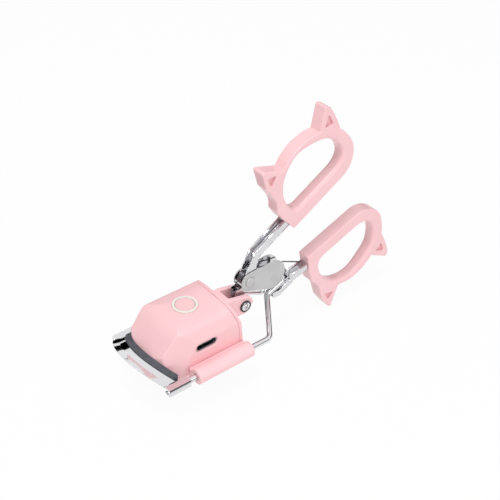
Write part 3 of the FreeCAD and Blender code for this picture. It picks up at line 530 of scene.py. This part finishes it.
def spring():
    """Coil and two legs."""
    shape = bmesh.new()
    middle = Vector((px + COIL_SHIFT[0], 0, pz + COIL_SHIFT[1])) * MM
    half = COIL_TURNS * WIRE * COIL_GAP / 2
    start = middle + Vector((COIL_RADIUS, -half, 0))
    face_way = Matrix.Translation(start)
    disc = bmesh.ops.create_circle(shape, cap_ends=True, segments=WIRE_SIDES, radius=WIRE / 2,
                                   matrix=face_way)["verts"]
    steps = int(COIL_TURNS * COIL_STEPS)
    geometry = disc + list({edge for vert in disc for edge in vert.link_edges})
    geometry += list({face for vert in disc for face in vert.link_faces})
    bmesh.ops.spin(shape, geom=geometry, cent=middle, axis=(0, 1, 0),
                   dvec=(0, 2 * half / steps, 0), angle=2 * math.pi * COIL_TURNS, steps=steps,
                   use_duplicate=False)
    low, high = (Vector(corner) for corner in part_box("torsion_spring"))
    knee = Vector((px + KNEE_SHIFT[0], 0, pz + KNEE_SHIFT[1])) * MM
    foot = Vector((high.x, 0, low.z + WIRE))
    tail = Vector((px + TAIL_SHIFT[0], 0, pz + TAIL_SHIFT[1])) * MM
    reach = half * LEG_ALONG_COIL
    rod_between(shape, middle + Vector((0, reach, COIL_RADIUS)), knee, WIRE / 2)
    rod_between(shape, knee, foot, WIRE / 2)
    rod_between(shape, middle + Vector((COIL_RADIUS, -reach, 0)), tail, WIRE / 2)
    bmesh.ops.create_icosphere(shape, subdivisions=BALL_STEPS, radius=WIRE / 2,
                               matrix=Matrix.Translation(knee))
    bmesh.ops.recalc_face_normals(shape, faces=shape.faces)
    for face in shape.faces:
        face.smooth = True
    return shape_to_object(shape, "torsion_spring_finished")


settle(spring(), spring_wire, "torsion_spring")

# %% [markdown]
# The rest of the solids keep their own meshes and get their materials.

# %% Give the other CAD nodes their materials
LOOKS = {
    polished: ("guide_rod_left", "guide_rod_right"),
    pink_housing: ("pad_carrier",),
    aluminium: ("heater_bar",),
    wrap: ("battery_cell",),
    laminate: ("circuit_board", "switch_board"),
    black_plastic: ("tact_switch",),
    shell: ("usb_c_socket",),
    dark_steel_and_shade: ("clevis_nut",),
}
for material, names in LOOKS.items():
    for name in names:
        piece = nodes[name]
        for slot in piece.material_slots:
            slot.material = material
        if not piece.material_slots:
            piece.data.materials.append(material)
print("materials on", sum(len(names) for names in LOOKS.values()), "nodes")

# %% [markdown]
# The pivot rivet has two low domed heads. Its profile is a short line of points from the axis
# to the rim, spun once round the axis, which is how a turned part is drawn.

# %% Turned heads
SPIN_STEPS = 48
DOME_STEPS = 8


def turned(name, profile, centre, side):
    """Spins (radius, height) points round an axis along Y; side is where its top faces."""
    shape = bmesh.new()
    line = [shape.verts.new((radius, 0, height)) for radius, height in profile]
    edges = [shape.edges.new(pair) for pair in zip(line, line[1:])]
    bmesh.ops.spin(shape, geom=line + edges, cent=(0, 0, 0), axis=(0, 0, 1), dvec=(0, 0, 0),
                   angle=2 * math.pi, steps=SPIN_STEPS, use_merge=True, use_duplicate=False)
    bmesh.ops.remove_doubles(shape, verts=shape.verts, dist=0.001 * MM)
    turn = Matrix.Rotation(math.radians(90 * -side), 4, "X")
    bmesh.ops.transform(shape, matrix=Matrix.Translation(centre) @ turn, verts=shape.verts)
    bmesh.ops.recalc_face_normals(shape, faces=shape.faces)
    for face in shape.faces:
        face.smooth = True
    return shape_to_object(shape, name)


def dome(radius, rise, low):
    """Points of a shallow dome from its middle to its rim, then down to its foot."""
    ball = (radius ** 2 + rise ** 2) / (2 * rise)
    reach = math.asin(radius / ball)
    turns = [reach * step / DOME_STEPS for step in range(DOME_STEPS + 1)]
    arc = [(ball * math.sin(turn), ball * math.cos(turn) - ball) for turn in turns]
    return arc + [(radius, -low), (0, -low)]


def pin_between(node, material, head_radius, head_low, rise, pin_radius):
    """A pin with a domed head at both ends, in the box of its solid."""
    low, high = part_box(node)
    middle = (Vector(low) + Vector(high)) / 2
    half = (high[1] - low[1]) / 2
    arc = dome(head_radius, rise, head_low)[:-1]
    top = [(radius, half + height) for radius, height in arc]
    top.append((pin_radius, half - head_low))
    foot = [(radius, -height) for radius, height in reversed(top)]
    return settle(turned(node + "_finished", top + foot, middle, 1), material, node)


pin_between("pivot_rivet", plate_steel, head_radius=1.95 * MM, head_low=0.7 * MM,
            rise=0.4 * MM, pin_radius=1.0 * MM)

# %% [markdown]
# The clevis screw is a pan head with a cross recess. The head is spun like the rivet's, and the
# recess is cut by two thin bars with a Boolean, whose result is kept.

# %% Clevis screw
screw_low, screw_high = (Vector(corner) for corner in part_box("clevis_screw"))
screw_middle = (screw_low + screw_high) / 2
HEAD_RADIUS = 2.3 * MM
HEAD_HIGH = 1.1 * MM
DOME_RADIUS = 1.8 * MM
DOME_RISE = 0.55 * MM
DOME_LOW = 0.95 * MM
THREAD_RADIUS = 1.2 * MM
CROSS_LONG, CROSS_WIDE, CROSS_DEEP = 2.1 * MM, 0.5 * MM, 1.1 * MM
CROSS_DEGREES = 28
shank_long = screw_high.y - screw_low.y
profile = dome(DOME_RADIUS, DOME_RISE, DOME_LOW)[:-1]
profile += [(THREAD_RADIUS, -DOME_LOW), (THREAD_RADIUS, -shank_long), (0, -shank_long)]
head_place = Vector((screw_middle.x, screw_low.y, screw_middle.z))
screw = turned("clevis_screw_finished", profile, head_place, -1)
settle(screw, polished, "clevis_screw")


def cross_cutter(centre, length, width, depth):
    """Two crossed bars that stand in the face of a screw."""
    shape = bmesh.new()
    for size in ((length, width), (width, length)):
        made = bmesh.ops.create_cube(shape, size=1.0)["verts"]
        bmesh.ops.scale(shape, vec=(size[0], depth, size[1]), verts=made)
    turn = Matrix.Rotation(math.radians(CROSS_DEGREES), 4, "Y")
    bmesh.ops.transform(shape, matrix=Matrix.Translation(centre) @ turn, verts=shape.verts)
    return shape_to_object(shape, "cutter")


carve(screw, cross_cutter(head_place, CROSS_LONG, CROSS_WIDE, CROSS_DEEP), crossed=True)
print("screw faces", len(screw.data.polygons))

# %% [markdown]
# The head sits in a dark ring, a little wider than the head: painted shade round the head, drawn
# as a thin ring of blackened steel.

# %% Ring of painted shade under the screw head
SHADE_RING_THICK = 0.6 * MM
SHADE_RING_BORE = DOME_RADIUS + 0.05 * MM
ring_profile = [(SHADE_RING_BORE, 0), (HEAD_RADIUS, 0), (HEAD_RADIUS, -SHADE_RING_THICK),
                (SHADE_RING_BORE, -SHADE_RING_THICK), (SHADE_RING_BORE, 0)]
shade_ring_place = head_place + Vector((0, HEAD_HIGH - SHADE_RING_THICK, 0))
shade_ring = turned("clevis_screw_painted_shade", ring_profile, shade_ring_place, -1)
# The dark ring paints the shade round the screw head.
attach(shade_ring, dark_steel_and_shade, "clevis_screw")
print("washer at", [round(v / MM, 2) for v in shade_ring_place])

# %% [markdown]
# A plain pale floor lies under the lowest point and carries the object's shadow. To the camera,
# and in reflections, it glows near white through Light Path, so that no extra light has to fall
# on the object. The world does the same.

# %% Floor
low, high = cad_box
GLOW = 0.94
FLOOR_SIZE = 12.0
FLOOR_GAP = 0.2 * MM


def seen_directly(tree):
    """One where a ray comes from the camera, or from a mirror or a glass."""
    path = tree.nodes.new("ShaderNodeLightPath")
    total = path.outputs["Is Camera Ray"]
    for name in ("Is Glossy Ray", "Is Transmission Ray"):
        either = tree.nodes.new("ShaderNodeMath")
        either.operation = "MAXIMUM"
        tree.links.new(total, either.inputs[0])
        tree.links.new(path.outputs[name], either.inputs[1])
        total = either.outputs["Value"]
    return total


def stage_plane(name, size, material, place):
    """A flat square that isn't part of the object."""
    shape = bmesh.new()
    bmesh.ops.create_grid(shape, x_segments=1, y_segments=1, size=size / 2)
    bmesh.ops.transform(shape, matrix=place, verts=shape.verts)
    made = shape_to_object(shape, name)
    made.data.materials.append(material)
    bpy.context.scene.collection.objects.link(made)
    return made


def white_paper():
    """Matt white paper that looks evenly white."""
    made, shader = new_material("matt_white_paper", 0.9, 0.0, 0.2)
    shader.inputs["Base Color"].default_value = linear("F4F4F4")
    glow = add(made, "Emission", Color=linear("FFFFFF"), Strength=1.0)
    share = made.node_tree.nodes.new("ShaderNodeMath")
    share.operation = "MULTIPLY"
    share.inputs[1].default_value = GLOW
    link(made, seen_directly(made.node_tree), share.inputs[0])
    mix = add(made, "MixShader", Fac=share.outputs["Value"])
    link(made, shader.outputs["BSDF"], mix.inputs[1])
    link(made, glow.outputs["Emission"], mix.inputs[2])
    end = made.node_tree.nodes["Material Output"]
    link(made, mix.outputs["Shader"], end.inputs["Surface"])
    return made


stage_plane("floor", FLOOR_SIZE, white_paper(),
            Matrix.Translation((0, 0, low[2] - FLOOR_GAP)))
print("floor glows at", GLOW)

# %% [markdown]
# Five dark cards, four black and one grey, stand round the object, out of view and seen only in
# reflections, because chrome needs something dark to reflect. The two small ones stand close to
# the jaw, and the three wide ones draw dark bands in the shanks and rods.

# %% Dark cards


def card_felt(name, code):
    """Dull felt of one colour."""
    made, shader = new_material(name, 1.0, 0.0, 0.0)
    shader.inputs["Base Color"].default_value = linear(code)
    return made


black_felt = card_felt("black_felt", "0A0A0A")
grey_felt = card_felt("grey_felt", "6E6E6E")
centre = (Vector(low) + Vector(high)) / 2


def card(name, middle, facing, wide, tall, felt):
    """A card that stands upright, its width level, seen only in reflections."""
    turn = Vector(facing).to_track_quat("Z", "Y").to_matrix().to_4x4()
    stretch = Matrix.Diagonal((wide, tall, 1.0, 1.0))
    made = stage_plane(name, 1.0, felt, Matrix.Translation(middle) @ turn @ stretch)
    for kind in ("camera", "diffuse", "shadow", "transmission"):
        setattr(made, "visible_" + kind, False)
    return made


# Name, middle, the way it faces, width, height and felt.
CARDS = (
    ("card_left", (-0.010, 0.055, -0.005), (0, -1, 0), 0.10, 0.014, black_felt),
    ("card_near", (-0.010, -0.028, -0.0067), (0, 1, 0), 0.026, 0.0026, grey_felt),
    ("card_right", (0.05, -0.50, 0.12), (0, 1, 0), 0.9, 0.20, black_felt),
    ("card_behind", (0.55, 0.03, 0.17), (-1, 0, 0), 0.9, 0.30, black_felt),
    ("card_far", (-0.05, 0.50, 0.15), (0, -1, 0), 0.9, 0.28, black_felt),
)
for row in CARDS:
    card(*row)
print("cards stand round", [round(v, 4) for v in centre])

# %% [markdown]
# The light is a pale world, a soft key lamp from above on the left and a weaker fill from the
# right. Together they give a colour back about as it is written.

# %% World and lamps
WORLD = 0.46
world = bpy.data.worlds.new("studio")
bpy.context.scene.world = world
world.use_nodes = True
tree = world.node_tree
background = tree.nodes["Background"]
background.inputs["Color"].default_value = linear("FFFFFF")
level = tree.nodes.new("ShaderNodeMapRange")
level.inputs["To Min"].default_value = WORLD
level.inputs["To Max"].default_value = 1.0
tree.links.new(seen_directly(tree), level.inputs["Value"])
tree.links.new(level.outputs["Result"], background.inputs["Strength"])


def lamp(name, away, size, energy):
    """A round soft lamp that points at the middle of the object."""
    data = bpy.data.lights.new(name, "AREA")
    data.shape = "DISK"
    data.size = size
    data.energy = energy
    made = bpy.data.objects.new(name, data)
    made.location = centre + Vector(away)
    made.rotation_euler = (-Vector(away)).to_track_quat("-Z", "Y").to_euler()
    bpy.context.scene.collection.objects.link(made)
    return made


lamp("key", away=(-0.25, -0.10, 0.75), size=0.40, energy=3.7)
lamp("fill", away=(0.1, -0.7, 0.2), size=0.5, energy=1.5)
print("lamps placed")

# %% [markdown]
# The camera looks down on the right side of the tool from in front, with a long lens.

# %% Camera
LENS = 74.2
CAMERA_PLACE = (-0.158663, -0.230778, 0.249467)
camera_data = bpy.data.cameras.new("camera")
camera_data.sensor_width = 36.0
camera_data.lens = LENS
camera_data.clip_start = 0.01
camera = bpy.data.objects.new("camera", camera_data)
right = Vector((0.7830, -0.6220, 0.0060))
back = Vector((-0.5030, -0.6280, 0.5940)).normalized()
up = back.cross(right).normalized()
right = up.cross(back)
turn = Matrix((right, up, back)).transposed().to_4x4()
camera.matrix_world = Matrix.Translation(CAMERA_PLACE) @ turn
bpy.context.scene.collection.objects.link(camera)
bpy.context.scene.camera = camera
bpy.context.scene.view_settings.view_transform = "Standard"
print("camera looks along", [round(-v, 3) for v in back])
